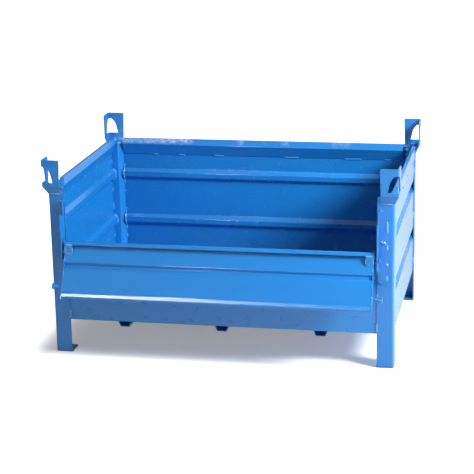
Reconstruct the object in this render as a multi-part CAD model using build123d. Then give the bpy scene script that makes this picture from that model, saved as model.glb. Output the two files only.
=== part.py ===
from build123d import *
import os
from math import atan2, hypot, tan

# Stackable sheet-steel container with a half-height drop front, shown hanging open.
# Millimetres. Origin: centre of the footprint on the ground, +Z up,
# +X to the right along the length, the drop front is on the -Y side.
# Paired pieces are built on the right (+X) and mirrored to the left.

# ---------------------------------------------------------------- dimensions
LENGTH = 1200.0          # over the outer faces of the posts, X
DEPTH = 800.0            # over the outer faces of the posts, Y
HX, HY = LENGTH / 2, DEPTH / 2

FOOT_T = 6.0             # foot plate thickness
FOOT_SIDE = 60.0
FOOT_CHAMFER = 0.8       # round the underside
POST_LEG = 58.0          # leg width of the folded post angle
POST_T = 3.0
POST_R = 8.0             # outer bend radius of the post
POST_TOP = 600.0

WALL_T = 2.0
WALL_OUT_X = HX - POST_T     # outer faces of the wall sheets
WALL_OUT_Y = HY - POST_T
WALL_TOP = 598.0         # top edge of the wall sheets, inside the rim
WALL_RADII = [3.0] + [4.5] * 8   # bottom fold, then four folds per bead
BEAD_DEPTH = 14.0        # inward depth of the pressed beads
BEADS = ((252.0, 298.0), (438.0, 484.0))     # foot of each bead, bottom and top
BEAD_CREST = 18.0        # flat height of the bead crest

FLOOR_Z = 123.0          # underside of the floor sheet
FLOOR_T = 3.0
FLOOR_INSET = 8.0        # floor edge to post face, at the sides and back
FLOOR_FRONT_INSET = 8.5
FLANGE = 24.0            # inward bottom flange of the walls and front panel

RIM_TOP = 605.5          # top of the rolled rim
RIM_T = 2.0
RIM_RADII = [2.5, 2.5, 3.0]
RIM_GAP = 0.05           # between the rim's skirt and the wall
RIM_FLAT = 12.0          # flat width of the rim's top
RIM_NOSE_IN = 25.5       # how far the rim's nose stands in from the post face
RIM_NOSE_Z = 584.0
RIM_LOW_Z = 543.0        # where the rim comes back to the wall
RIM_SKIRT_Z = 562.0      # lower edge of the rim's outer skirt
RIM_CAP_T = 2.2          # plate that closes the front ends of the side rims
RIM_CAP_BACK = 2.0       # the sloped plate runs on behind the top of the bevel
RIM_CAP_RISE = 1.15      # ... and rises by this above the rim
MITRE_GAP = 0.2          # between the side and back rims
BEVEL_TOP_Y = -262.0     # front ends of the side rims slope down from here
BEVEL_LOW_Y = -316.0     # ... to here
BEVEL_LOW_Z = 575.0

PANEL_T = 3.0            # front lower panel
PANEL_TOP = 368.0        # sill height
PANEL_HALF = 572.0       # half length, laps behind the post flanges
PANEL_SILL = 26.0        # centre-line width of the folded sill
PANEL_LIP = 16.0         # height of the lip behind the sill

CHANNELS = {"left": -352.0, "centre": -3.0, "right": 345.0}  # centre lines, X
CHANNEL_BOTTOM = 93.0
CHANNEL_T = 3.0
CHANNEL_HALF_Y = 371.0
CHANNEL_FLANGE_X = 47.0  # half widths: over the flanges,
CHANNEL_MOUTH_X = 26.0   # ... at the floor
CHANNEL_BASE_X = 16.0    # ... and at the bottom

LINER_T = 2.5            # rear inner corner plate
LINER_Y = 370.0          # its front-facing strip
LINER_NOSE_X = 568.0
LINER_BACK_X = 551.0     # where it meets the back wall
LINER_TOP = POST_TOP - 4

EAR_TOP = 700.0
EAR_T = 4.5
EAR_OUT = 16.0           # how far the ear stands out from the post face
EAR_FOOT_Z = 579.0       # where the flare starts on the post face
EAR_KNEE_Z = 608.0       # where the flare turns vertical
EAR_IN_TOP = 552.0       # inner edge of the front leaf at the top, X
EAR_IN_LOW = 556.0       # ... and at the bottom
EAR_CORE_X = HX - 200.0  # sections of the ear's solid body reach in to here
EAR_BEND_R = 3.5
EAR_TIP_R = 5.0
EYE_BOTTOM, EYE_TOP = 620.0, 677.0
EYE_IN = 577.0           # inner edge of the lifting eye at its bottom

# Drop front, in its own (u, v) frame: u towards the load space when shut,
# v from the hinge edge to the free edge; the pin sits at (PIN_U, PIN_V).
PIN_Y, PIN_Z = -425.0, 392.0
PIN_U, PIN_V = -25.0, 20.0
PIN_D = 12.0
PIN_HEAD_D = PIN_D + 9
PIN_HEAD_T = 5.0
PIN_HEAD_GAP = 1.5       # between the bracket web and the pin's head
OPEN_ANGLE = 151.0       # swing from shut to hanging open
LIFT_DOWN = 16.0         # drop of the pins in their slots that locks the studs
LIFT_UP = 30.0           # further upward play in the slots
FLAP_HALF = 537.0        # over the outer faces of the flap's end plates
FLAP_T = 2.0
FLAP_PANEL_U = -14.0     # load-side face of the panel
FLAP_LIP_V = 181.0       # the free edge eases outwards from here
FLAP_END_V = 203.0       # far end of the end plates, past the free edge
END_T = 3.0
FLAP_IN = FLAP_HALF - END_T      # inner face of the end plates
STUD_D = 16.0
STUD_UV = (-24.0, 156.0)
STUD_TAIL = 36.0         # length of the stud inside the end plate
STUD_END = 571.0
STUD_HEAD_D = 22.0
STUD_HEAD_T = 4.5
RUN_CLEAR = 0.05         # radial running clearance of the pins and studs
HEM_BLOCK = 25.0         # length of the reinforced ends of the hem
BUSH_D = 17.9
GUSSET_T = 3.0

# guide and keeper bracket on each front post
BR_T = 3.0
BR_X = 546.0             # inner face of the bracket web
BR_FRONT = -447.0        # front edge of the web
BR_BOTTOM = 306.0        # bottom of the leg on the post
BR_WEB_BOTTOM = 352.0    # bottom of the web
BR_LIP = 516.0           # top of the locking lip
BR_HORN = 554.0          # top of the rear horn
BR_LEG_X = 575.5         # outer edge of the leg that lies on the post
BR_BEND_R = 2.5
BR_NIP = 5.0             # cut-off corners of the web and leg
SLOT_W = 12.4
POCKET_W = STUD_D + 2.0

os.makedirs("parts", exist_ok=True)


# ------------------------------------------------------------------- helpers
def left_of(direction):
    return Vector(-direction.Y, direction.X)


def bent(points, thickness, radii):
    """Face of a folded strip: centre line points, thickness and centre-line bend
    radii (one number, or one per inner vertex)."""
    corners = [Vector(*point) for point in points]
    directions = [(b - a).normalized() for a, b in zip(corners, corners[1:])]
    if not isinstance(radii, list):
        radii = [radii] * (len(corners) - 2)

    def offset_edges(offset):
        edges = []
        start = corners[0] + left_of(directions[0]) * offset
        for corner, before, after, radius in zip(corners[1:], directions, directions[1:], radii):
            turn = before.cross(after).Z
            side = 1.0 if turn > 0 else -1.0
            setback = radius * tan(atan2(abs(turn), before.dot(after)) / 2)
            bend_start = corner - before * setback
            bend_end = corner + after * setback
            centre = bend_start + left_of(before) * (radius * side)
            arc_start = bend_start + left_of(before) * offset
            arc_middle = centre + (corner - centre).normalized() * (radius - side * offset)
            arc_end = bend_end + left_of(after) * offset
            edges.append(Edge.make_line(start, arc_start))
            edges.append(Edge.make_three_point_arc(arc_start, arc_middle, arc_end))
            start = arc_end
        end = corners[-1] + left_of(directions[-1]) * offset
        edges.append(Edge.make_line(start, end))
        return edges

    left, right = offset_edges(thickness / 2), offset_edges(-thickness / 2)
    ends = [Edge.make_line(left[0] @ 0, right[0] @ 0),
            Edge.make_line(left[-1] @ 1, right[-1] @ 1)]
    return Face(Wire(left + right + ends))


def along_x(face, x0, x1):
    """Extrude a (Y, Z) section from x0 to x1."""
    plane = Plane(origin=(x0, 0, 0), x_dir=(0, 1, 0), z_dir=(1, 0, 0))
    return extrude(plane * face, amount=x1 - x0, dir=(1, 0, 0))


def along_y(face, y0, y1):
    """Extrude an (X, Z) section from y0 to y1."""
    plane = Plane(origin=(0, y1, 0), x_dir=(1, 0, 0), z_dir=(0, -1, 0))
    return extrude(plane * face, amount=y1 - y0, dir=(0, -1, 0))


def along_z(face, z0, z1):
    """Extrude an (X, Y) section from z0 to z1."""
    return extrude(Plane.XY.offset(z0) * face, amount=z1 - z0, dir=(0, 0, 1))


def poly(points):
    return Face(Wire.make_polygon([(*point, 0) for point in points], close=True))


def block(x0, x1, y0, y1, z0, z1):
    return Pos((x0 + x1) / 2, (y0 + y1) / 2, (z0 + z1) / 2) * Box(x1 - x0, y1 - y0, z1 - z0)


def rod_x(x0, x1, diameter, y, z):
    return Pos((x0 + x1) / 2, y, z) * Rot(0, 90, 0) * Cylinder(diameter / 2, x1 - x0)


def chamfer_outer_end(shape, size):
    """Chamfer the circular edge furthest to the right."""
    return chamfer(shape.edges().filter_by(GeomType.CIRCLE).sort_by(Axis.X)[-1], size)


def upright_edges(shape, x, y, tolerance):
    """Z edges whose middle lies at (x, y)."""
    return [edge for edge in shape.edges().filter_by(Axis.Z)
            if abs((edge @ 0.5).X - x) < tolerance and abs((edge @ 0.5).Y - y) < tolerance]


def flip_x(shape):
    return mirror(shape, about=Plane.YZ)


def flip_y(shape):
    return mirror(shape, about=Plane.XZ)


def save(shape, name):
    solids = shape.solids()
    piece = solids[0] if len(solids) == 1 else Compound(children=list(solids))
    piece.label = name
    export_step(piece, "parts/" + name + ".step")


def save_pair(shape, name):
    """Save a right-hand piece and its left-hand mirror image."""
    save(shape, name + "_right")
    save(flip_x(shape), name + "_left")


def save_four(shape, name):
    """Save a front right piece at all four corners."""
    save_pair(shape, name + "_front")
    save_pair(flip_y(shape), name + "_rear")


# ------------------------------------------------------------ posts and feet
def post():
    """Folded angle, open towards the load space."""
    line = [(HX - POST_LEG, -HY + POST_T / 2), (HX - POST_T / 2, -HY + POST_T / 2),
            (HX - POST_T / 2, -HY + POST_LEG)]
    return along_z(bent(line, POST_T, POST_R - POST_T / 2), FOOT_T, POST_TOP)


def foot_plate():
    """Square plate, rounded at the outer corner."""
    foot = block(HX - FOOT_SIDE, HX, -HY, -HY + FOOT_SIDE, 0, FOOT_T)
    uprights = foot.edges().filter_by(Axis.Z).sort_by(lambda e: (e @ 0.5).X - (e @ 0.5).Y)
    foot = fillet(uprights[-1:], POST_R)
    return chamfer(foot.faces().sort_by(Axis.Z)[0].edges(), FOOT_CHAMFER)


save_four(post(), "post")
save_four(foot_plate(), "foot_plate")


# ------------------------------------------------------- lifting/stacking ears
def side_view(points):
    """Turn the front leaf's (X, Z) points into the side leaf's (Y, Z) points."""
    return [(HX - HY - x, z) for x, z in points]


def corner_body(points):
    """Body that has the same outline in the front and side views."""
    return (along_y(poly(points), -HY - 60, -HY + 120)
            & along_x(poly(side_view(points)), HX - 120, HX + 60))


def eye_face(sign, shift):
    """Lifting eye: flat sill, leaning inner side, round top. Each front view X
    is placed at shift + sign * X."""
    def at(x, z):
        return (shift + sign * x, z, 0)

    beyond = HX + 30         # past the leaf, so the eye opens across the bend
    sill_in = at(EYE_IN, EYE_BOTTOM)
    sill_out = at(beyond, EYE_BOTTOM)
    top_out = at(beyond, EYE_TOP)
    top_in = at(HX + 8, EYE_TOP)
    lean_top = at(EYE_IN + 5, EYE_BOTTOM + 22)
    return Face(Wire([
        Edge.make_line(sill_in, sill_out),
        Edge.make_line(sill_out, top_out),
        Edge.make_line(top_out, top_in),
        Edge.make_spline([top_in, at(HX - 6, EYE_TOP - 7), at(EYE_IN + 9, EYE_BOTTOM + 36),
                          lean_top],
                         tangents=[(-sign, 0, 0), (-0.2 * sign, -1, 0)]),
        Edge.make_line(lean_top, sill_in)]))


def lifting_ear():
    """Two leaves meeting at the corner, flared out over the post head, with a
    lifting eye cut across the bend."""
    rise = EAR_KNEE_Z - EAR_FOOT_Z
    flare = EAR_OUT / rise
    # flare thickness measured level, and where the inner skin leaves the post face
    level_t = EAR_T * hypot(EAR_OUT, rise) / rise
    inner_out = EAR_OUT - EAR_T
    inner_foot = EAR_FOOT_Z + level_t / flare
    inner_knee = inner_foot + inner_out / flare
    outer = corner_body([(EAR_CORE_X, EAR_FOOT_Z), (HX, EAR_FOOT_Z), (HX + EAR_OUT, EAR_KNEE_Z),
                         (HX + EAR_OUT, EAR_TOP), (EAR_CORE_X, EAR_TOP)])
    inner = corner_body([(EAR_CORE_X, EAR_FOOT_Z - 5), (HX, EAR_FOOT_Z - 5), (HX, inner_foot),
                         (HX + inner_out, inner_knee), (HX + inner_out, EAR_TOP + 5),
                         (EAR_CORE_X, EAR_TOP + 5)])
    shell = outer - inner

    # trim the leaves to width, their free edges lean
    leaf = [(EAR_IN_LOW, EAR_FOOT_Z - 1), (HX + 30, EAR_FOOT_Z - 1), (HX + 30, EAR_TOP + 1),
            (EAR_IN_TOP, EAR_TOP + 1)]
    front_leaf = along_y(poly(leaf), -HY - 40, -HY + 120)
    side_leaf = along_x(poly(side_view(leaf)), HX - 120, HX + 40)
    front = shell & front_leaf & block(HX - 120, HX + 40, -HY - 40, -HY, 0, 900)
    side = shell & side_leaf & block(HX, HX + 40, -HY - 40, -HY + 120, 0, 900)
    ear = (front + side
           - along_y(eye_face(1, 0), -HY - 40, -HY - 0.01)
           - along_x(eye_face(-1, HX - HY), HX + 0.01, HX + 40))

    # round the vertical bend outside and the free top corners
    ear = fillet(upright_edges(ear, HX + EAR_OUT, -HY - EAR_OUT, 0.2), EAR_BEND_R)
    side_in_top = HX - HY - EAR_IN_TOP
    tips = [edge for edge in ear.edges().filter_by(Axis.Y)
            if abs((edge @ 0.5).Z - EAR_TOP) < 0.2 and (edge @ 0.5).X < EAR_IN_TOP + 3]
    tips += [edge for edge in ear.edges().filter_by(Axis.X)
             if abs((edge @ 0.5).Z - EAR_TOP) < 0.2 and (edge @ 0.5).Y > side_in_top - 3]
    return fillet(tips, EAR_TIP_R)


save_four(lifting_ear(), "lifting_ear")


# ---------------------------------------------------------------- wall sheets
def wall_section(outer_face):
    """Beaded sheet with its bottom flange, in (outward, Z)."""
    centre = outer_face - WALL_T / 2
    bottom = FLOOR_Z - WALL_T / 2
    points = [(centre - FLANGE, bottom), (centre, bottom)]
    for low, high in BEADS:
        slope = (high - low - BEAD_CREST) / 2
        points += [(centre, low), (centre - BEAD_DEPTH, low + slope),
                   (centre - BEAD_DEPTH, high - slope), (centre, high)]
    return bent(points + [(centre, WALL_TOP)], WALL_T, WALL_RADII)


def bevel_cutter():
    """Room above the sloped front end of the right rim."""
    return along_x(poly([(BEVEL_TOP_Y, RIM_TOP + 0.001), (BEVEL_LOW_Y, BEVEL_LOW_Z),
                         (-HY - 20, BEVEL_LOW_Z), (-HY - 20, RIM_TOP + 60),
                         (BEVEL_TOP_Y, RIM_TOP + 60)]), HX - 60, HX + 10)


def side_wall():
    """Side sheet; its top edge sinks below the sloped rim end."""
    wall = along_y(wall_section(WALL_OUT_X), -HY + POST_R, LINER_Y - 0.2)
    return wall - Pos(0, 0, -RIM_CAP_T - 0.1) * bevel_cutter()


def back_wall():
    half_length = LINER_BACK_X - 0.5
    return along_x(wall_section(WALL_OUT_Y), -half_length, half_length)


save_pair(side_wall(), "side_wall")
save(back_wall(), "back_wall")


# ----------------------------------------------------------------------- rims
def rim_line(post_face):
    """Centre line of a rim in (outward, Z), from the skirt over the top."""
    skirt = post_face - POST_T + RIM_T / 2 + RIM_GAP
    top = RIM_TOP - RIM_T / 2
    return [(skirt, RIM_SKIRT_Z), (skirt, top), (post_face - RIM_FLAT - 1.5, top),
            (post_face - RIM_NOSE_IN + 1, RIM_NOSE_Z),
            (post_face - POST_T - WALL_T - 1.5, RIM_LOW_Z)]


def corner_room():
    """Room taken by the rear right post, whose top stays free as a stacking
    seat, and by the inner corner plate under the rims."""
    leg = POST_LEG + 0.5
    sheet = POST_T + 0.1
    return (block(HX - leg, HX + 1, HY - sheet, HY + 1, 0, POST_TOP + 50)
            + block(HX - sheet, HX + 1, HY - leg, HY + 1, 0, POST_TOP + 50)
            + block(LINER_BACK_X - 0.1, HX + 1, LINER_Y - 0.2, HY + 1, 0, LINER_TOP + 0.4))


def side_rim():
    """Right rim, mitred at the rear and bevelled at the front."""
    side_of_mitre = along_z(poly([(HX + 50, HY + 50 - MITRE_GAP), (HX - 100, HY - 100 - MITRE_GAP),
                                  (HX - 100, -HY - 50), (HX + 50, -HY - 50)]), 0, 700)
    rim = along_y(bent(rim_line(HX), RIM_T, RIM_RADII), BEVEL_LOW_Y, HY)
    rim = (rim - corner_room()) & side_of_mitre
    # the front end is closed by a sloped plate and a short upright one
    hollow = poly(rim_line(HX))
    cap_y, cap_z = BEVEL_TOP_Y + RIM_CAP_BACK, RIM_TOP + RIM_CAP_RISE
    slope_plate = along_x(poly([(cap_y, cap_z), (BEVEL_LOW_Y, BEVEL_LOW_Z),
                                (BEVEL_LOW_Y, BEVEL_LOW_Z - RIM_CAP_T),
                                (cap_y, cap_z - RIM_CAP_T)]), HX - 60, HX + 10)
    slope_plate = slope_plate & along_y(hollow, BEVEL_LOW_Y, BEVEL_TOP_Y + 20)
    end_plate = (along_y(hollow, BEVEL_LOW_Y, BEVEL_LOW_Y + RIM_CAP_T)
                 & block(HX - 60, WALL_OUT_X - WALL_T - 0.05, -HY, 0, 0, 700))
    return (rim + slope_plate + end_plate) - bevel_cutter()


def back_rim():
    """Right half, mitred on the 45 degree line at the corner, and its mirror image."""
    back_of_mitre = along_z(poly([(HX + 50, HY + 50), (HX - 100, HY - 100), (0, HY - 100),
                                  (0, HY + 50)]), 0, 700)
    half = along_x(bent(rim_line(HY), RIM_T, RIM_RADII), -1, HX)
    half = (half - corner_room()) & back_of_mitre
    return half + flip_x(half)


save_pair(side_rim(), "rim")
save(back_rim(), "rim_back")


# ----------------------------------------------- front lower panel, floor and base
def front_lower_panel():
    """Upright sheet with a bottom flange, a sill and a lip behind the sill."""
    y = -HY + POST_T + PANEL_T / 2
    bottom, sill = FLOOR_Z - PANEL_T / 2, PANEL_TOP - PANEL_T / 2
    line = [(y + FLANGE, bottom), (y, bottom), (y, sill), (y + PANEL_SILL, sill),
            (y + PANEL_SILL, PANEL_TOP - PANEL_LIP)]
    return along_x(bent(line, PANEL_T, 4.0), -PANEL_HALF, PANEL_HALF)


def floor_sheet():
    return block(-HX + FLOOR_INSET, HX - FLOOR_INSET, -HY + FLOOR_FRONT_INSET, HY - FLOOR_INSET,
                 FLOOR_Z, FLOOR_Z + FLOOR_T)


def base_channel(x):
    """Hat-shaped channel under the floor, centred on x."""
    top, bottom = FLOOR_Z - CHANNEL_T / 2, CHANNEL_BOTTOM + CHANNEL_T / 2
    line = [(x - CHANNEL_FLANGE_X, top), (x - CHANNEL_MOUTH_X, top), (x - CHANNEL_BASE_X, bottom),
            (x + CHANNEL_BASE_X, bottom), (x + CHANNEL_MOUTH_X, top), (x + CHANNEL_FLANGE_X, top)]
    return along_y(bent(line, CHANNEL_T, 4.0), -CHANNEL_HALF_Y, CHANNEL_HALF_Y)


save(front_lower_panel(), "front_lower_panel")
save(floor_sheet(), "floor_sheet")
for place, channel_x in CHANNELS.items():
    save(base_channel(channel_x), "base_channel_" + place)


# ------------------------------------------------------- rear inner corner plates
def corner_plate():
    """Front-facing strip, then a slanting one back to the rear wall."""
    half_t = LINER_T / 2
    line = [(WALL_OUT_X, LINER_Y + half_t), (LINER_NOSE_X + 0.8, LINER_Y + half_t),
            (LINER_BACK_X + half_t, WALL_OUT_Y)]
    plate = along_z(bent(line, LINER_T, 3.0), FLOOR_Z + FLOOR_T, LINER_TOP)
    return plate & block(0, WALL_OUT_X, 0, WALL_OUT_Y, 0, 700)


save_pair(corner_plate(), "corner_plate_rear")


# ------------------------------------------------------ drop front's (u, v) frame
def shut(u, v):
    """(Y, Z) of a point of the shut drop front."""
    return (PIN_Y + u - PIN_U, PIN_Z + v - PIN_V)


STUD_Y, STUD_Z = shut(*STUD_UV)
# turns a piece from the shut position to hanging open about the pins
OPEN = Pos(0, PIN_Y, PIN_Z) * Rot(OPEN_ANGLE, 0, 0) * Pos(0, -PIN_Y, -PIN_Z)


# ------------------------------------------------------ guide and keeper brackets
def guide_bracket():
    """Web with a slot for the pin and a pocket for the stud, and a leg on the post."""
    pocket_z = STUD_Z - LIFT_DOWN
    pocket_front, pocket_rear = STUD_Y - POCKET_W / 2, STUD_Y + POCKET_W / 2
    web = along_x(poly([(-HY, BR_WEB_BOTTOM - 6), (-HY, BR_HORN), (pocket_rear + 3, BR_HORN),
                        (pocket_rear, BR_HORN - BR_NIP), (pocket_rear, pocket_z),
                        (pocket_front, pocket_z), (pocket_front, BR_LIP - 3),
                        (pocket_front - 3, BR_LIP), (BR_FRONT + BR_NIP, BR_LIP),
                        (BR_FRONT, BR_LIP - BR_NIP), (BR_FRONT, BR_WEB_BOTTOM + 10),
                        (BR_FRONT + 10, BR_WEB_BOTTOM)]), BR_X, BR_X + BR_T)
    cut_x = (BR_X - 5, BR_X + 10)
    web = web - rod_x(*cut_x, POCKET_W, STUD_Y, pocket_z)
    slot_low, slot_high = PIN_Z - LIFT_DOWN, PIN_Z + LIFT_UP
    slot = (rod_x(*cut_x, SLOT_W, PIN_Y, slot_low)
            + rod_x(*cut_x, SLOT_W, PIN_Y, slot_high)
            + block(*cut_x, PIN_Y - SLOT_W / 2, PIN_Y + SLOT_W / 2, slot_low, slot_high))
    web = web - slot
    leg = along_y(poly([(BR_X, BR_BOTTOM), (BR_X, BR_HORN), (BR_LEG_X - BR_NIP, BR_HORN),
                        (BR_LEG_X, BR_HORN - BR_NIP), (BR_LEG_X, BR_BOTTOM + BR_NIP),
                        (BR_LEG_X - BR_NIP, BR_BOTTOM)]), -HY - BR_T, -HY)
    bracket = web + leg
    bend = [edge for edge in upright_edges(bracket, BR_X, -HY, 0.1) if edge.length > 100]
    return fillet(bend, BR_BEND_R)


save_pair(guide_bracket(), "guide_bracket")


# ---------------------------------------------------------------------- hinge pins
def hinge_pin():
    head_x = BR_X + BR_T + PIN_HEAD_GAP
    pin_end = head_x + PIN_HEAD_T
    pin = rod_x(FLAP_IN - HEM_BLOCK + 1, pin_end, PIN_D, PIN_Y, PIN_Z)
    pin = pin + rod_x(head_x, pin_end, PIN_HEAD_D, PIN_Y, PIN_Z)
    return chamfer_outer_end(pin, 1.0)


save_pair(hinge_pin(), "hinge_pin")


# ---------------------------------------------------------------------- drop front
def flap_panel():
    """Sheet with a hem at the hinge edge, a shallow bead and an eased free edge."""
    hem_u = -FLAP_T / 2
    panel_u = FLAP_PANEL_U - FLAP_T / 2
    # centre line: u, v
    line = [(hem_u, 14), (hem_u, FLAP_T / 2), (panel_u, FLAP_T / 2),
            (panel_u, 73), (panel_u - 8, 80), (panel_u - 8, 87), (panel_u, 94),
            (panel_u, FLAP_LIP_V), (panel_u - 3, FLAP_LIP_V + 12),
            (panel_u - 8.5, FLAP_LIP_V + 16.5)]
    section = bent([shut(*point) for point in line], FLAP_T,
                   [2.5, 2.5, 3.0, 3.0, 3.0, 3.0, 12.0, 4.0])
    return along_x(section, -FLAP_IN, FLAP_IN)


def flap_end_plate():
    """End plate with holes for the pin and the stud, its outer corners rounded."""
    # outline: u, v
    outline = [(0, 1), (0, 16), (-2.4, 22), (-13.5, 45), (-13.5, 181), (-14.5, 195),
               (-16, FLAP_END_V), (-24, FLAP_END_V), (-33, 192), (-37, 180), (-37, 8),
               (-30, 0), (-1, 0)]
    plate = along_x(poly([shut(*point) for point in outline]), FLAP_IN, FLAP_HALF)
    outer_y = shut(-15, 0)[0]
    plate = fillet([edge for edge in plate.edges().filter_by(Axis.X)
                    if (edge @ 0.5).Y < outer_y], 3.0)
    for diameter, y, z in ((PIN_D, PIN_Y, PIN_Z), (STUD_D, STUD_Y, STUD_Z)):
        plate = plate - rod_x(FLAP_IN - 5, FLAP_HALF + 5, diameter + 2 * RUN_CLEAR, y, z)
    return plate


def hinge_bush():
    """Bush behind the hem, round the pin."""
    bore = rod_x(FLAP_IN - HEM_BLOCK - 5, FLAP_IN + 5, PIN_D + 2 * RUN_CLEAR, PIN_Y, PIN_Z)
    return rod_x(FLAP_IN - HEM_BLOCK, FLAP_IN, BUSH_D, PIN_Y, PIN_Z) - bore


def hem_gusset():
    """Folded strip that closes the hem at its end."""
    line = [shut(-1.6, 15.7), shut(-3.8, 21.0), shut(-12.4, 42.0)]
    return along_x(bent(line, GUSSET_T, 4.0), FLAP_IN - HEM_BLOCK, FLAP_IN - 0.3)


def locking_stud():
    stud = (rod_x(FLAP_IN - STUD_TAIL, STUD_END, STUD_D, STUD_Y, STUD_Z)
            + rod_x(STUD_END - STUD_HEAD_T, STUD_END, STUD_HEAD_D, STUD_Y, STUD_Z))
    return chamfer_outer_end(stud, 1.2)


save(OPEN * flap_panel(), "flap_panel")
save_pair(OPEN * flap_end_plate(), "flap_end_plate")
save_pair(OPEN * hinge_bush(), "flap_hinge_bush")
save_pair(OPEN * hem_gusset(), "flap_hem_gusset")
save_pair(OPEN * locking_stud(), "locking_stud")
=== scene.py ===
# Blue powder-coated steel container with corner posts, lifting ears, feet and an open drop front.
# It stands on z = 0, centred on x and y: +x is right, -y is the front, +z is up. Units are
# metres, except the weld tables, which are in millimetres.
import bpy, bmesh, math, random
import numpy as np
from mathutils import Vector, Matrix


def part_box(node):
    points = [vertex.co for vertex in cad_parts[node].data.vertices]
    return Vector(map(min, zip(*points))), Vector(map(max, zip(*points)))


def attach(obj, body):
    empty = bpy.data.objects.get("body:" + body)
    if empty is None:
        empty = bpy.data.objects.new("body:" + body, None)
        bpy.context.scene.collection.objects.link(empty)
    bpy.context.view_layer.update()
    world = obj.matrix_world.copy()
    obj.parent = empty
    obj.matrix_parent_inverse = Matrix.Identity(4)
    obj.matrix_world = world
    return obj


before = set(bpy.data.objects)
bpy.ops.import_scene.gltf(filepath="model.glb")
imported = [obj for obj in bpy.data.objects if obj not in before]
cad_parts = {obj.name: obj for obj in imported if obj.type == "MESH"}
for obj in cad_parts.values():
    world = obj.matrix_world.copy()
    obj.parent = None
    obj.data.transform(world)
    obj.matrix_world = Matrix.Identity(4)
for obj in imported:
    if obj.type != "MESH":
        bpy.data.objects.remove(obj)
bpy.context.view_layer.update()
scene = bpy.context.scene
MM = 0.001

# ---------------------------------------------------------------- studio values
KEY = dict(place=(3.15, -1.4, 2.6), target=(-0.1, 0.0, 0.35), width=1.15, depth=1.15, power=275.0)
OVERHEAD = dict(place=(-0.3, -1.0, 3.2), target=(0.0, 0.0, 0.3), width=2.0, depth=1.4, power=10.0)
AMBIENT_LOW = 0.06       # sky at the horizon, for diffuse light
AMBIENT_TOP = 0.04       # added towards the zenith
AMBIENT_FRONT = 0.95     # added low down in front
GLOSS_LOW = 0.20         # sky at the horizon, seen in reflections
GLOSS_TOP = 0.25         # added towards the zenith
BACKDROP = 1.05          # sky seen by the camera
FLOOR_BOUNCE = 0.75      # grey of the paper as it lights the container
GLOW_RIGHT = 0.58        # painted glow on the paper right of the container, seen in reflections only
HALF_X, HALF_Y = 0.62, 0.40   # plan of the shaded patch of paper
# round light behind the container, seen in reflections only; edge and softness are cosines
LOBE = dict(direction=(0.20, 0.93, 0.30), edge=0.93, softness=0.06, strength=0.55)
# tall strip in front, seen in reflections only: where each direction component fades in and out
STRIP_X_IN, STRIP_X_OUT = (-0.36, -0.33), (-0.262, -0.200)
STRIP_Z_IN, STRIP_Z_OUT = (0.06, 0.13), (0.42, 0.52)
STRIP_Y_OUT = (-0.5, -0.3)
STRIP_POWER = 34.0

# ------------------------------------------------------------------ coat values
BLUE = (0.010, 0.198, 0.575)
POST_BLUE = (0.012, 0.190, 0.560)
THIN_PAINT = (0.16, 0.40, 0.84)
SCRATCHED = (0.10, 0.36, 0.86)
# pale flecks: scuffs, and a painted highlight on the back rim's left end
CHALK_AND_HIGHLIGHT = (0.62, 0.72, 0.88)
DUST = (0.30, 0.36, 0.44)
STEEL = (0.34, 0.36, 0.40)
TONE = 0.05              # strength of the slow colour drift
EDGE_RADIUS = 0.0012     # reach of the wear round an edge
CREASE_SHADE_REACH = 0.02      # reach of the painted shade in creases

RIM = dict(rough=0.25, wave=0.4, seed=7.7, chips=0.45, wear=0.6, scratch=0.8)
COATS = {
    "sheet": dict(rough=0.28, rough_var=0.35, wave=0.45, peel=0.5, seed=0.0, scratch=0.15),
    # the back wall gets painted shade low down and towards both ends
    "back": dict(rough=0.27, rough_var=0.25, wave=0.40, peel=0.4, seed=0.0, scratch=0.12,
                 low_shade=0.28),
    "side": dict(rough=0.27, rough_var=0.25, wave=0.22, peel=0.3, seed=3.1, scratch=0.10),
    "rim": RIM,
    # scuffs and painted highlight: from x, to x, strength; the long stretch at the left end also
    # paints a highlight
    "rim_back": dict(RIM, scuffs_and_highlight=((-0.56, -0.27, 0.72), (-0.085, -0.07, 0.6),
                                  (0.09, 0.105, 0.6), (0.28, 0.35, 0.25))),
    "post": dict(base=POST_BLUE, rough=0.33, wave=0.7, seed=11.3, wear=0.45),
    "ear": dict(base=POST_BLUE, rough=0.31, wave=0.4, seed=17.9, chips=0.35, wear=0.6,
                scratch=0.6),
    # painted shade: the darker blue of the base coat stands in for the shade on the feet and the
    # channels under the body
    "base": dict(base=(0.008, 0.130, 0.400), rough=0.42, wave=0.5, seed=23.5, dust=0.25,
                 chips=0.3),
    "floor": dict(rough=0.40, wave=1.2, seed=29.1, dust=0.35, scratch=0.8, chips=0.2),
    # painted shade: the flap's blue is a little darker than the sheet blue, holding down its
    # brightness in the light
    "flap": dict(base=(0.010, 0.190, 0.555), rough=0.24, rough_var=0.4, wave=0.35, peel=0.4,
                 seed=37.3, scratch=0.12),
    "hardware": dict(base=POST_BLUE, rough=0.31, wave=0.2, seed=41.7, wear=0.6, chips=0.3),
    # painted highlight: the weld blue is lighter than the sheet blue, standing in for the sparkle
    # of the beads
    "weld": dict(base=(0.050, 0.275, 0.670), rough=0.12, wave=0.1, peel=2.0, seed=47.1,
                 wear=0.5, clear=0.7),
}
# which coat a piece takes: by its whole name, then by how its name starts, else "sheet"
COAT_BY_NAME = {"rim_back": "rim_back", "floor_sheet": "floor", "back_wall": "back"}
COAT_BY_PREFIX = {
    "post_": "post", "lifting_ear": "ear", "foot_": "base", "base_channel": "base",
    "rim_": "rim", "flap_": "flap", "hinge_pin": "hardware", "locking_stud": "hardware",
    "guide_bracket": "hardware", "side_wall": "side",
}


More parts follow.
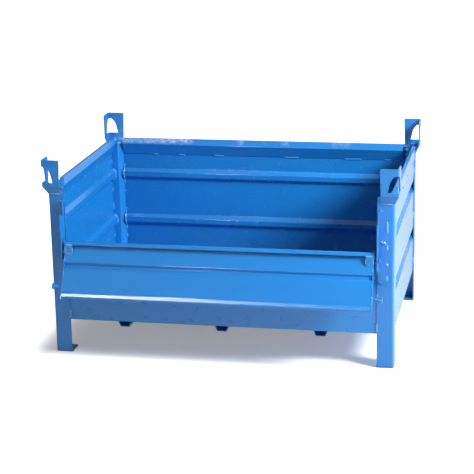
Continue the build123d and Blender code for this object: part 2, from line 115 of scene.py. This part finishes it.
# ------------------------------------------------------------------ node helpers
class Tree:
    """Builds shader nodes; every value may be a number, a tuple or another node's output."""

    def __init__(self, node_tree):
        self.nodes = node_tree.nodes
        self.links = node_tree.links

    def put(self, value, socket):
        if isinstance(value, bpy.types.NodeSocket):
            self.links.new(value, socket)
            return
        if socket.type == "RGBA" and len(value) == 3:
            value = (*value, 1)
        socket.default_value = value

    def node(self, kind, inputs=None, **settings):
        node = self.nodes.new("ShaderNode" + kind)
        for key, value in settings.items():
            setattr(node, key, value)
        for key, value in (inputs or {}).items():
            self.put(value, node.inputs[key])
        return node

    def math(self, operation, *values, clamp=False):
        inputs = dict(enumerate(values))
        return self.node("Math", inputs, operation=operation, use_clamp=clamp).outputs[0]

    def mul(self, a, b):
        return self.math("MULTIPLY", a, b)

    def add(self, a, b):
        return self.math("ADD", a, b)

    def mul_add(self, value, factor, offset):
        return self.math("MULTIPLY_ADD", value, factor, offset)

    def larger(self, a, b):
        return self.math("MAXIMUM", a, b)

    def invert(self, value, clamp=False):
        return self.math("SUBTRACT", 1.0, value, clamp=clamp)

    def dot(self, a, b):
        return self.node("VectorMath", {0: a, 1: b}, operation="DOT_PRODUCT").outputs["Value"]

    def split(self, vector):
        return tuple(self.node("SeparateXYZ", {0: vector}).outputs)

    def ramp(self, factor, *stops):
        """Two-stop colour ramp; each stop is (position, grey or colour)."""
        node = self.node("ValToRGB", {0: factor})
        for element, (position, colour) in zip(node.color_ramp.elements, stops):
            element.position = position
            element.color = (*colour, 1) if isinstance(colour, tuple) else (*(colour,) * 3, 1)
        return node.outputs[0]

    def mix(self, factor, first, second):
        return self.node("Mix", {0: factor, 6: first, 7: second}, data_type="RGBA").outputs[2]

    def noise(self, vector, scale, detail, rough=0.5, distortion=0.0):
        return self.node("TexNoise", {
            "Scale": scale, "Detail": detail, "Roughness": rough, "Distortion": distortion,
            "Vector": vector}).outputs["Fac"]

    def mapped(self, vector, scale=(1, 1, 1), turn=(0, 0, 0), shift=(0, 0, 0)):
        return self.node("Mapping", {
            "Scale": scale, "Rotation": turn, "Location": shift, "Vector": vector}).outputs[0]

    def bump(self, height, distance, strength, normal=None):
        node = self.node("Bump", {"Distance": distance, "Strength": strength, "Height": height})
        if normal:
            self.put(normal, node.inputs["Normal"])
        return node.outputs[0]

    def ease(self, value, start, end, kind="SMOOTHSTEP"):
        """0 below start, 1 above end."""
        return self.node("MapRange", {"From Min": start, "From Max": end, "Value": value},
                         interpolation_type=kind).outputs[0]

    def fade(self, value, start, end):
        """1 below start, 0 above end."""
        return self.invert(self.ease(value, start, end))


# ------------------------------------------------------------------- powder coat
def scaled(colour, red, green, blue):
    return (colour[0] * red, colour[1] * green, colour[2] * blue)


def powder_colour(tree, pos, base):
    """Base colour with slow drift, cloudy mottling and the fine grain of the powder."""
    drift = tree.noise(pos, scale=2.3, detail=2.0)
    cloud = tree.noise(pos, scale=14.0, detail=4.0, rough=0.6)
    grain = tree.noise(pos, scale=900.0, detail=2.0, rough=0.6)
    value = tree.mul_add(drift, TONE * 2.2, 1.0 - TONE * 1.1)
    value = tree.add(value, tree.mul_add(cloud, TONE * 0.9, -TONE * 0.45))
    value = tree.add(value, tree.mul_add(grain, 0.04, -0.02))
    colour = tree.node("VectorMath", {0: base, "Scale": value}, operation="SCALE").outputs[0]
    clouded = (base[0] * 2.2 + 0.004, base[1] * 1.25, base[2] * 0.98)
    return tree.mix(tree.mul(cloud, 0.12), colour, clouded)


def edge_mask(tree, normal):
    """Bends and cut edges, where the rounded normal leaves the true one."""
    rounded = tree.node("Bevel", {"Radius": EDGE_RADIUS}, samples=4).outputs[0]
    edge = tree.invert(tree.dot(rounded, normal), clamp=True)
    return tree.math("MULTIPLY", edge, 5.0, clamp=True)


def worn_mask(tree, pos, edge, wear):
    """Thin paint, broken up along the edges."""
    rub = tree.noise(pos, scale=55.0, detail=5.0, rough=0.65)
    rub = tree.ramp(rub, (0.42, 0.0), (0.62, 1.0))
    return tree.mul(tree.mul(edge, tree.mul_add(rub, 0.75, 0.25)), wear)


def scratch_mask(tree, pos, scratch):
    """Thin stretched scratches in two directions, kept to patches."""
    first = tree.mapped(pos, scale=(3.0, 3.0, 150.0), turn=(0.2, 0.35, 0.1))
    first = tree.noise(first, scale=3.0, detail=2.0, rough=0.55, distortion=0.3)
    second = tree.mapped(pos, scale=(190.0, 6.0, 7.0), turn=(0.6, 0.1, 0.5))
    second = tree.noise(second, scale=2.0, detail=2.0, rough=0.5, distortion=0.2)
    lines = tree.larger(tree.ramp(first, (0.70, 0.0), (0.735, 1.0)),
                        tree.ramp(second, (0.71, 0.0), (0.74, 1.0)))
    patch = tree.noise(pos, scale=5.0, detail=3.0, rough=0.6)
    patch = tree.ramp(patch, (0.50, 0.0), (0.66, 1.0))
    return tree.mul(tree.mul(lines, patch), scratch)


def crease_shade_mask(tree):
    """Painted shade where faces meet: darker where ambient occlusion finds a crease."""
    occlusion = tree.node("AmbientOcclusion", {"Distance": CREASE_SHADE_REACH},
                          samples=4, only_local=False)
    crease = tree.invert(occlusion.outputs["AO"], clamp=True)
    return tree.mul(tree.math("POWER", crease, 1.6), 0.55)


def add_scuffs_and_highlight(tree, pos, coords, colour, scuffs_and_highlight):
    """Chalky flecks on stretches of a rim, above z = 0.59: scuffs, which also serve as a painted
    highlight.
    """
    x, _, z = tree.split(coords)
    fleck = tree.noise(tree.mapped(pos, scale=(40.0, 90.0, 90.0)),
                       scale=2.2, detail=5.0, rough=0.7, distortion=0.4)
    fleck = tree.ramp(fleck, (0.46, 0.10), (0.60, 1.0))
    for start, end, strength in scuffs_and_highlight:
        # the 0.7 moves each end of the stretch to the middle of its ramp
        band = tree.mul(
            tree.ramp(tree.mul_add(x, 1.0, 0.7 - start), (0.69, 0.0), (0.71, 1.0)),
            tree.ramp(tree.mul_add(x, -1.0, 0.7 + end), (0.69, 0.0), (0.71, 1.0)))
        upper = tree.ramp(z, (0.588, 0.0), (0.594, 1.0))
        mask = tree.mul(tree.mul(band, upper), tree.mul(fleck, strength))
        colour = tree.mix(mask, colour, CHALK_AND_HIGHLIGHT)
    return colour


def low_shade_mask(tree, pos, coords, low_shade):
    """Painted shade low on a wall and into its end corners, with a wavering limit."""
    x, _, z = tree.split(coords)
    waver = tree.mul_add(tree.noise(pos, scale=3.1, detail=4.0, rough=0.6), 0.10, -0.05)
    low = tree.ramp(tree.add(z, waver), (0.20, 1.0), (0.36, 0.0))
    from_middle = tree.math("ABSOLUTE", x)
    corner = tree.ramp(tree.add(from_middle, waver), (0.26, 0.0), (0.56, 0.8))
    return tree.mul(tree.larger(low, corner), low_shade)


def dust_mask(tree, pos, normal, dust):
    """Patchy dust on upward faces."""
    up = tree.ramp(tree.split(normal)[2], (0.55, 0.0), (0.95, 1.0))
    patch = tree.noise(pos, scale=9.0, detail=6.0, rough=0.62)
    patch = tree.ramp(patch, (0.35, 0.15), (0.75, 1.0))
    return tree.mul(tree.mul(up, patch), dust)


def chip_mask(tree, pos, edge, chips):
    """Bare steel in scattered groups of chips and along the edges."""
    fine = tree.noise(pos, scale=120.0, detail=4.0, rough=0.7)
    group = tree.noise(pos, scale=16.0, detail=2.0)
    spots = tree.mul(tree.ramp(fine, (0.665, 0.0), (0.685, 1.0)),
                     tree.ramp(group, (0.50, 0.0), (0.58, 1.0)))
    nicks = tree.mul(edge, tree.ramp(fine, (0.57, 0.0), (0.61, 1.0)))
    return tree.math("MULTIPLY", tree.larger(tree.mul(spots, 0.6), nicks), chips, clamp=True)


def relief(tree, pos, wave, peel):
    """Slow and middling waves of the sheet, then orange peel."""
    normal = tree.bump(tree.noise(pos, scale=4.2, detail=2.0),
                       distance=0.004 * wave, strength=0.55)
    normal = tree.bump(tree.noise(pos, scale=21.0, detail=2.0),
                       distance=0.0007 * wave, strength=0.5, normal=normal)
    return tree.bump(tree.noise(pos, scale=330.0, detail=2.0),
                     distance=0.00012 * peel, strength=0.6, normal=normal)


def coat(name, rough, wave, seed, base=BLUE, rough_var=1.0, peel=1.0, wear=0.35, scratch=0.3,
         dust=0.0, chips=0.0, clear=0.20, low_shade=0.0, scuffs_and_highlight=()):
    """Powder coat over steel; seed shifts the textures, clear is the gloss layer's weight."""
    material = bpy.data.materials.new("coat_" + name)
    material.use_nodes = True
    material.node_tree.nodes.clear()
    tree = Tree(material.node_tree)
    output = tree.node("OutputMaterial")
    shader = tree.node("BsdfPrincipled", {
        "IOR": 1.52, "Coat Weight": clear, "Coat Roughness": 0.12})
    tree.put(shader.outputs[0], output.inputs[0])
    true_normal = tree.node("NewGeometry").outputs["Normal"]
    coords = tree.node("TexCoord").outputs["Object"]
    pos = tree.mapped(coords, shift=(seed, seed * 0.7, seed * 0.3))

    colour = powder_colour(tree, pos, base)
    edge = edge_mask(tree, true_normal)
    worn = worn_mask(tree, pos, edge, wear)
    colour = tree.mix(worn, colour, THIN_PAINT)
    scratches = scratch_mask(tree, pos, scratch)
    colour = tree.mix(scratches, colour, SCRATCHED)
    # painted shade: a darker blue in the creases
    colour = tree.mix(crease_shade_mask(tree), colour, scaled(base, 0.35, 0.35, 0.5))
    rough_noise = tree.noise(pos, scale=26.0, detail=5.0, rough=0.6)
    roughness = tree.mul_add(rough_noise, 0.16 * rough_var, rough - 0.08 * rough_var)
    roughness = tree.add(roughness, tree.mul(scratches, 0.25))
    roughness = tree.add(roughness, tree.mul(worn, 0.08))
    # scuff flecks, partly a painted highlight
    if scuffs_and_highlight:
        colour = add_scuffs_and_highlight(tree, pos, coords, colour, scuffs_and_highlight)
    # painted shade: darker low on the wall and towards its ends
    if low_shade > 0:
        low_shaded = low_shade_mask(tree, pos, coords, low_shade)
        colour = tree.mix(low_shaded, colour, scaled(base, 0.2, 0.22, 0.24))
    if dust > 0:
        dusty = dust_mask(tree, pos, true_normal, dust)
        colour = tree.mix(dusty, colour, DUST)
        roughness = tree.add(roughness, tree.mul(dusty, 0.4))
    if chips > 0:
        bare = chip_mask(tree, pos, edge, chips)
        colour = tree.mix(bare, colour, STEEL)
        tree.put(tree.mul(bare, 0.8), shader.inputs["Metallic"])
    tree.put(colour, shader.inputs["Base Color"])
    tree.put(tree.math("MINIMUM", roughness, 0.9), shader.inputs["Roughness"])
    normal = relief(tree, pos, wave, peel)
    tree.put(normal, shader.inputs["Normal"])
    tree.put(normal, shader.inputs["Coat Normal"])
    return material


materials = {name: coat(name, **settings) for name, settings in COATS.items()}


def coat_for(piece):
    if piece in COAT_BY_NAME:
        return COAT_BY_NAME[piece]
    for prefix, name in COAT_BY_PREFIX.items():
        if piece.startswith(prefix):
            return name
    return "sheet"


for piece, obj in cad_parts.items():
    obj.data.materials.clear()
    obj.data.materials.append(materials[coat_for(piece)])
    merge = obj.modifiers.new("weld", "WELD")
    merge.merge_threshold = 0.00001
    bevel = obj.modifiers.new("edge", "BEVEL")
    bevel.limit_method = "ANGLE"
    bevel.angle_limit = math.radians(38)
    bevel.width = 0.0004
    bevel.segments = 2
    bevel.harden_normals = True

# -------------------------------------------------------------- weld bead meshes
BEAD_WIDTH = 0.0078
BEAD_HEIGHT = 0.0031
BEAD_STEP = 0.0011       # spacing of the rings along a bead
BEAD_RING = 12           # points in a ring
RIPPLE_PITCH = 0.0038
RIPPLE_LAG = -0.0007     # how far a ring's sides trail on its upper half
WANDER = 0.0006          # sideways sway of a bead
TIP = 0.0004             # reach of the end points past the line


def resample(points, step):
    """Points about every step along a polyline, and their distances along it."""
    points = np.array(points, float)
    lengths = np.linalg.norm(np.diff(points, axis=0), axis=1)
    reached = np.concatenate([[0], np.cumsum(lengths)])
    count = max(int(round(reached[-1] / step)), 4)
    along = np.linspace(0, reached[-1], count + 1)
    return np.stack([np.interp(along, reached, points[:, i]) for i in range(3)], 1), along


def unit_rows(rows):
    return rows / (np.linalg.norm(rows, axis=1)[:, None] + 1e-12)


def add_bead(verts, faces, points, normal, size, phase):
    """Add one rippled bead that sits on the line and swells along the normal."""
    line, along = resample(points, BEAD_STEP)
    count = len(line)
    tangent = unit_rows(np.gradient(line, axis=0))
    up = np.array(normal, float)
    up = np.repeat((up / np.linalg.norm(up))[None], count, 0)
    up = unit_rows(up - (up * tangent).sum(1)[:, None] * tangent)
    across = np.cross(tangent, up)
    # sway, ripple height and rounding of the ends, at each ring
    sway = (np.sin(along / 0.011 + phase) * WANDER
            + np.sin(along / 0.0043 + 2 * phase) * WANDER * 0.5)
    cycle = (along / RIPPLE_PITCH + 0.25 * np.sin(along / 0.009 + phase)) % 1.0
    ripple = (0.80 + 0.20 * np.sqrt(np.clip(1 - (cycle * 2 - 1) ** 2, 0, 1))
              + 0.05 * np.sin(along / 0.017 + phase))
    end = np.clip(np.minimum(along, along[-1] - along) / (BEAD_WIDTH * 0.55 * size), 0, 1)
    cap = np.sqrt(np.clip(1 - (1 - end) ** 2, 0, 1)) * 0.93 + 0.07
    first = len(verts)
    for i in range(count):
        half_width = BEAD_WIDTH * size * 0.5 * cap[i] * (0.9 + 0.1 * ripple[i])
        for j in range(BEAD_RING):
            angle = 2 * math.pi * j / BEAD_RING
            side, rise = math.cos(angle), math.sin(angle)
            height = BEAD_HEIGHT * size * cap[i] * (ripple[i] if rise > 0 else 0.5)
            lag = RIPPLE_LAG * side * side * size if rise > 0 else 0.0
            verts.append(tuple(line[i] + across[i] * (side * half_width + sway[i] * cap[i])
                               + up[i] * rise * height + tangent[i] * lag))
    start_tip, end_tip = len(verts), len(verts) + 1
    verts.append(tuple(line[0] - tangent[0] * TIP))
    verts.append(tuple(line[-1] + tangent[-1] * TIP))
    ring = [(j, (j + 1) % BEAD_RING) for j in range(BEAD_RING)]
    for i in range(count - 1):
        here = first + i * BEAD_RING
        there = here + BEAD_RING
        faces.extend((here + j, there + j, there + k, here + k) for j, k in ring)
    last = first + (count - 1) * BEAD_RING
    for j, k in ring:
        faces.append((start_tip, first + j, first + k))
        faces.append((end_tip, last + k, last + j))


def weld(name, body, beads, seed):
    """One object holding all the beads of a seam."""
    rnd = random.Random(seed)
    verts, faces = [], []
    for points, normal, size in beads:
        add_bead(verts, faces, points, normal, size, phase=rnd.random() * 6.28)
    mesh = bpy.data.meshes.new(name)
    mesh.from_pydata(verts, [], faces)
    edit = bmesh.new()
    edit.from_mesh(mesh)
    bmesh.ops.recalc_face_normals(edit, faces=edit.faces)
    for face in edit.faces:
        face.smooth = True
    edit.to_mesh(mesh)
    edit.free()
    mesh.materials.append(materials["weld"])
    obj = bpy.data.objects.new(name, mesh)
    scene.collection.objects.link(obj)
    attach(obj, body)


def bead(normal, size, *points):
    """A bead as (points in metres, normal, size factor), from points in millimetres."""
    return [tuple(c * MM for c in point) for point in points], normal, size


def mirror(beads, axis):
    """The same beads on the other side of x = 0 (axis 0) or y = 0 (axis 1)."""
    def flip(vector):
        return tuple(-c if i == axis else c for i, c in enumerate(vector))
    return [([flip(p) for p in points], flip(normal), size) for points, normal, size in beads]


# --------------------------------------- weld places, right-hand side, millimetres
def corner_plate_beads(bow_normal, end, shoulder, middle, stitch, spans):
    """Two bowed beads, then upright stitches; places are (x, y), spans (low z, high z)."""
    bows = [bead(bow_normal, 1.15, (*end, low - 1), (*shoulder, low + 13),
                 (*middle, (low + high) / 2), (*shoulder, high - 13), (*end, high + 1))
            for low, high in ((252, 298), (438, 484))]
    return bows + [bead((-1, -1, 0), 0.9, (*stitch, low), (*stitch, high))
                   for low, high in spans]


PLATE_BACK = corner_plate_beads(
    (-1, -0.2, 0), end=(551.2, 394.6), shoulder=(551.6, 382.4), middle=(551.6, 381.2),
    stitch=(551.2, 394.4),
    spans=((300, 322), (386, 394), (420, 436), (484, 500), (232, 250), (196, 214), (140, 156)))
PLATE_SIDE = corner_plate_beads(
    (0, -1, 0), end=(595.2, 369.2), shoulder=(582.0, 369.4), middle=(580.9, 369.4),
    stitch=(595.0, 370.0),
    spans=((318, 345), (392, 408), (505, 520), (205, 224), (142, 158)))
# round the foot of a lifting ear and at its ends
EAR = [
    bead((0, -1, -0.75), 1.05, (557.5, -400.4, 578.8), (570, -400.4, 578.6),
         (586, -400.4, 578.6), (594.5, -400.5, 578.8)),
    bead((1, 0, -0.75), 1.05, (600.4, -394.5, 578.8), (600.4, -386, 578.6),
         (600.4, -368, 578.6), (600.4, -357.5, 578.8)),
    bead((-1, -0.6, 0), 0.8, (555.9, -400.6, 581), (555.8, -401.2, 588)),
    bead((0, -0.4, 1), 0.7, (544.0, -400.6, 600.2), (554.4, -401.0, 600.4)),
    bead((0.6, 1, 0), 0.8, (600.6, -355.9, 581), (601.2, -355.8, 588)),
    bead((0, 0.2, 1), 0.8, (558, -400.0, 600.5), (594, -400.0, 600.5)),
    bead((-0.2, 0, 1), 0.8, (600.0, -394, 600.5), (600.0, -358, 600.5))]
# foot plate round the inside of the post leg
FOOT = [
    bead((0, 1, 1), 1.1, (545, -396.6, 6.4), (592, -396.6, 6.4)),
    bead((-1, 0, 1), 1.1, (596.6, -392, 6.4), (596.6, -346, 6.4)),
    bead((-1, 0, 1), 0.8, (541.6, -400.0, 6.2), (541.6, -397.0, 6.2))]
# down the front post's inner edge, and under the panel
FRONT_PANEL = [
    bead((-1, -1, 0), size, (541.7, -397.4, high), (541.6, -397.4, low))
    for high, low, size in ((350, 330, 1.0), (264, 238, 1.0), (160, 126, 1.25))]
FRONT_PANEL.append(bead((0, -1, -1), 1.1, (544.0, -397.4, 119.6), (560.0, -397.4, 119.6)))
# guide bracket leg on the post's front face
GUIDE_BRACKET = [
    bead((1, -1, 0), 1.25, (575.7, -400.6, 518), (575.8, -400.6, 479)),
    bead((1, -1, 0), 1.2, (575.7, -400.6, 437), (575.8, -400.6, 420)),
    bead((0, -1, 0), 1.1, (555.0, -403.3, 452), (561.5, -403.3, 444.5),
         (566.0, -403.3, 448.0), (572.5, -403.3, 439.5)),
    bead((1, -1, 0), 1.25, (575.7, -400.6, 372), (575.8, -400.6, 362)),
    bead((1, -1, 0), 1.0, (575.6, -400.6, 330), (575.7, -400.6, 312)),
    bead((0, -1, 1), 0.9, (551.0, -400.6, 554.3), (562.0, -400.6, 554.4)),
    bead((0, -1, -1), 1.0, (549.0, -400.6, 305.7), (563.0, -400.6, 305.6))]
# rear corner plate top, rims and post head
RIM_CORNER = [
    bead((0, 0, 1), 0.9, (598.2, 397.0, 603.0), (590, 389.6, 605.3), (585.8, 385.8, 605.3)),
    bead((-1, -1, 0.8), 0.9, (585.4, 385.2, 604.6), (578.5, 378.0, 591.0)),
    bead((-0.6, -1, 0.7), 1.2, (576.0, 369.9, 584.0), (566.0, 371.0, 588.0),
         (553.5, 389.0, 588.0)),
    bead((0, -0.6, 1), 0.9, (543.0, 397.6, 600.6), (560.0, 397.6, 600.6)),
    bead((-0.6, 0, 1), 0.9, (597.6, 343.0, 600.6), (597.6, 360.0, 600.6))]
# side rim to the wall: stitches along its inner, then its outer lower edge
RIM_SIDE = [
    bead((face, 0, -1), 0.95, (x, y, z), (x, y + 24, z))
    for face, x, z, starts in ((-1, 594.4, 541.8, (-290, -160, -10, 150, 300)),
                               (1, 597.5, 561.2, (-300, -120, 60, 240)))
    for y in starts]
# side wall to the front, then the rear post, outside
SIDE_WALL = [
    bead((1, face, 0), 0.95, (597.4, y, z), (597.4, y, z + 26))
    for face, y in ((1, -341.6), (-1, 341.6)) for z in (150, 330, 505)]
# seam name, coat slot, beads on the right
SEAMS = [
    ("weld_corner_plate_back", "sheet_coat", PLATE_BACK),
    ("weld_corner_plate_side", "sheet_coat", PLATE_SIDE),
    ("weld_ear_front", "ear_coat", EAR),
    ("weld_ear_rear", "ear_coat", mirror(EAR, 1)),
    ("weld_foot_front", "base_coat", FOOT),
    ("weld_foot_rear", "base_coat", mirror(FOOT, 1)),
    ("weld_front_panel", "post_coat", FRONT_PANEL),
    ("weld_guide_bracket", "hardware_coat", GUIDE_BRACKET),
    ("weld_rim_corner", "rim_coat", RIM_CORNER),
    ("weld_rim_side", "rim_coat", RIM_SIDE),
    ("weld_side_wall", "post_coat", SIDE_WALL)]


def long_seam(face, y, z, spans, size):
    """Stitches along x; face is the way they swell, -1 to the front, 1 to the rear."""
    return [bead((0, face, -1 if z > 500 else 1), size, (start, y, z), (end, y, z))
            for start, end in spans]


def spans_from(starts, length):
    return [(start, start + length) for start in starts]


# under-floor channels to the floor sheet, along both sides of each channel
for i, part in enumerate(("left", "centre", "right")):
    box_low, box_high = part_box("base_channel_" + part)
    weld("weld_base_channel_" + part, "frame",
         [bead((face, 0, -1), 1.0, (x / MM + face * 0.3, y, 121.2),
               (x / MM + face * 0.3, y + 28, 121.2))
          for x, face in ((box_low[0], -1), (box_high[0], 1))
          for y in (-360, -180, 0, 180, 330)], seed=60 + i)
# back rim: inner, then outer lower edge
weld("weld_rim_back", "frame",
     long_seam(-1, y=394.4, z=541.8, size=1.0, spans=(
         (-431, -409), (-187, -146), (89, 150), (328, 392), (-330, -300), (480, 505)))
     + long_seam(1, y=399.4, z=561.2, size=0.95,
                 spans=spans_from((-480, -250, -20, 210, 440), 26)), seed=5)
# floor sheet: front, then rear edge
weld("weld_floor_front", "frame",
     long_seam(1, y=-391.6, z=126.2, size=1.0,
               spans=spans_from((-520, -340, -180, 0, 160, 330, 490), 30))
     + long_seam(-1, y=391.8, z=126.2, size=1.0,
                 spans=spans_from((-500, -320, -140, 30, 200, 380, 480), 30)), seed=9)
for i, (name, slot, beads) in enumerate(SEAMS):
    weld(name + "_right", "frame", beads, seed=100 + i)
    weld(name + "_left", "frame", mirror(beads, 0), seed=200 + i)

# ------------------------------------------------------ drop front, millimetres
# Points are (x, u, v) in the flap's shut frame: u to the rear and v up. They are turned
# about the hinge by the opening angle.
OPEN_COS, OPEN_SIN = math.cos(math.radians(151)), math.sin(math.radians(151))
HINGE_Y, HINGE_Z = -425, 392
HINGE_U, HINGE_V = -25, 20


def turned(x, u, v):
    return (x, u * OPEN_COS - v * OPEN_SIN, u * OPEN_SIN + v * OPEN_COS)


def flap_bead(normal, size, *points):
    placed = []
    for x, u, v in points:
        _, y, z = turned(x, u - HINGE_U, v - HINGE_V)
        placed.append((x, HINGE_Y + y, HINGE_Z + z))
    return bead(turned(*normal), size, *placed)


def arc(x, u, v, radius, start, end, count):
    """Points on a circle round (u, v)."""
    return [(x, u + radius * math.cos(angle), v + radius * math.sin(angle))
            for angle in np.linspace(start, end, count)]


# end plate to panel: flush seam on the load side, then the outer inside corner
flap_beads = [flap_bead((0, 1, 0), 0.5, (534.2, -13.9, low), (534.2, -13.9, high))
              for low, high in ((52, 66), (104, 118), (146, 156), (168, 178))]
flap_beads += [flap_bead((-1, -1, 0), 0.9, (533.6, -16.4, low), (533.6, -16.4, high))
               for low, high in ((30, 58), (104, 128))]
flap_beads += [
    # round the locking stud and the hinge bush
    flap_bead((1, 0, 0), 0.8, *arc(537.3, -24, 156, 8.4, 0, 2 * math.pi, 25)),
    flap_bead((-1, 0, 0), 0.7, *arc(506.6, HINGE_U, HINGE_V, 8.9, -2.3, 1.3, 16)),
    # hem gusset ends
    flap_bead((-1, 1, 0.4), 0.7, (534.2, -2.4, 19), (534.2, -11.5, 41)),
    flap_bead((-1, 0.6, 0.3), 0.6, (508.8, -3.6, 23), (508.8, -11.6, 40)),
    flap_bead((0, 1, 0.5), 0.6, (511, -13.3, 43.5), (532, -13.3, 43.5)),
    flap_bead((0, 1, 0.4), 0.9, (509, -0.4, 14.4), (532, -0.4, 14.4))]
weld("weld_flap_end_right", "flap", flap_beads, seed=31)
weld("weld_flap_end_left", "flap", mirror(flap_beads, 0), seed=32)


# ------------------------------------------------------------------------- stage
def paper_material():
    """White paper with painted light: it glows for the camera, clean white away from the
    container.
    """
    material = bpy.data.materials.new("stage_floor")
    material.use_nodes = True
    tree = Tree(material.node_tree)
    paper = tree.nodes["Principled BSDF"]
    coords = tree.node("TexCoord").outputs["Object"]
    rays = tree.node("LightPath").outputs
    colour = tree.ramp(tree.noise(coords, scale=1.3, detail=4.0),
                       (0.3, (0.88, 0.88, 0.885)), (0.7, (0.92, 0.92, 0.92)))
    # the paper sends only part of its light back on to the container
    colour = tree.mix(rays["Is Diffuse Ray"], colour, (FLOOR_BOUNCE,) * 3)
    tree.put(colour, paper.inputs["Base Color"])
    paper.inputs["Roughness"].default_value = 0.6
    paper.inputs["Specular IOR Level"].default_value = 0.2
    x, y, _ = tree.split(coords)
    beside = tree.math("SUBTRACT", tree.math("ABSOLUTE", x), HALF_X)
    behind = tree.math("SUBTRACT", y, HALF_Y)
    before = tree.math("SUBTRACT", tree.mul(y, -1.0), HALF_Y)
    away = tree.larger(tree.larger(beside, behind), before)
    # painted light: for camera rays the paper glows by 0.28 everywhere, lifting the shade under
    # the container, and by up to 0.9 more away from it, painting out the shadows there
    clean = tree.ease(away, -0.02, 0.14, kind="SMOOTHERSTEP")
    lit = tree.add(tree.mul(clean, 0.9), 0.28)
    # painted reflection: right of the container the paper glows for glossy rays only
    right = tree.ease(x, HALF_X, 0.85)
    glow = tree.mul(tree.mul(right, GLOW_RIGHT), rays["Is Glossy Ray"])
    strength = tree.add(tree.mul(lit, rays["Is Camera Ray"]), glow)
    light = tree.node("Emission", {0: (1, 1, 1), 1: strength})
    both = tree.node("AddShader", {0: paper.outputs[0], 1: light.outputs[0]})
    tree.put(both.outputs[0], tree.nodes["Material Output"].inputs[0])
    return material


floor_mesh = bpy.data.meshes.new("stage_floor")
floor_mesh.from_pydata([(-30, -30, 0), (30, -30, 0), (30, 30, 0), (-30, 30, 0)], [],
                       [(0, 1, 2, 3)])
stage_floor = bpy.data.objects.new("stage_floor", floor_mesh)
scene.collection.objects.link(stage_floor)
stage_floor.location.z = -0.0005
floor_mesh.materials.append(paper_material())


def sky_lobe(tree, sky, direction, edge, softness, strength):
    """A soft round light in the sky."""
    facing = tree.dot(sky, Vector(direction).normalized())
    return tree.mul(tree.ease(facing, edge - softness, edge + softness), strength)


def sky_strip(tree, x, y, z):
    """A tall strip light in the sky."""
    band = tree.mul(tree.ease(x, *STRIP_X_IN), tree.fade(x, *STRIP_X_OUT))
    rows = tree.mul(tree.ease(z, *STRIP_Z_IN), tree.fade(z, *STRIP_Z_OUT))
    band = tree.mul(tree.mul(band, rows), tree.fade(y, *STRIP_Y_OUT))
    return tree.mul(band, STRIP_POWER)


def build_world():
    """Separate skies for the camera, for reflections and for diffuse light."""
    world = bpy.data.worlds.new("studio")
    scene.world = world
    world.use_nodes = True
    tree = Tree(world.node_tree)
    sky = tree.node("TexCoord").outputs["Generated"]
    rays = tree.node("LightPath").outputs
    camera_ray, glossy_ray = rays["Is Camera Ray"], rays["Is Glossy Ray"]
    x, y, z = tree.split(sky)
    height = tree.larger(z, 0.0)
    # the front of the studio glows low down
    low = tree.math("POWER", tree.invert(height, clamp=True), 3.0)
    front = tree.larger(tree.mul(y, -1.0), 0.0)
    ambient = tree.add(tree.mul_add(height, AMBIENT_TOP, AMBIENT_LOW),
                       tree.mul(tree.mul(front, low), AMBIENT_FRONT))
    gloss = tree.mul_add(height, GLOSS_TOP, GLOSS_LOW)
    gloss = tree.add(gloss, sky_lobe(tree, sky, **LOBE))
    gloss = tree.add(gloss, sky_strip(tree, x, y, z))
    value = tree.add(tree.mul(glossy_ray, gloss), tree.mul(tree.invert(glossy_ray), ambient))
    value = tree.add(tree.mul(camera_ray, BACKDROP), tree.mul(tree.invert(camera_ray), value))
    background = tree.nodes["Background"]
    tree.put((1.0, 1.0, 1.0), background.inputs[0])
    tree.put(value, background.inputs[1])


def area_light(name, place, target, width, depth, power, glossy=True):
    light = bpy.data.lights.new(name, "AREA")
    light.shape = "RECTANGLE"
    light.size = width
    light.size_y = depth
    light.energy = power
    obj = bpy.data.objects.new(name, light)
    scene.collection.objects.link(obj)
    obj.location = place
    obj.rotation_mode = "QUATERNION"
    obj.rotation_quaternion = (Vector(target) - Vector(place)).to_track_quat("-Z", "Y")
    obj.visible_glossy = glossy


build_world()
area_light("key", **KEY)
area_light("overhead", **OVERHEAD, glossy=False)

# ------------------------------------------------------------------------ camera
CAMERA_PLACE = (1.0903, -5.2832, 1.8791)
YAW, PITCH, ROLL = math.radians(11.861), math.radians(16.016), math.radians(-1.223)

lens = bpy.data.cameras.new("camera")
lens.sensor_width = 36
lens.lens = 115.974684
lens.clip_end = 200
camera = bpy.data.objects.new("camera", lens)
scene.collection.objects.link(camera)
forward = Vector((-math.sin(YAW) * math.cos(PITCH), math.cos(YAW) * math.cos(PITCH),
                  -math.sin(PITCH)))
level_right = Vector((math.cos(YAW), math.sin(YAW), 0))
level_up = level_right.cross(forward)
right = level_right * math.cos(ROLL) + level_up * math.sin(ROLL)
up = level_up * math.cos(ROLL) - level_right * math.sin(ROLL)
turn = Matrix((right, up, -forward)).transposed()
camera.matrix_world = Matrix.Translation(CAMERA_PLACE) @ turn.to_4x4()
scene.camera = camera

scene.view_settings.view_transform = "Standard"
scene.view_settings.look = "None"
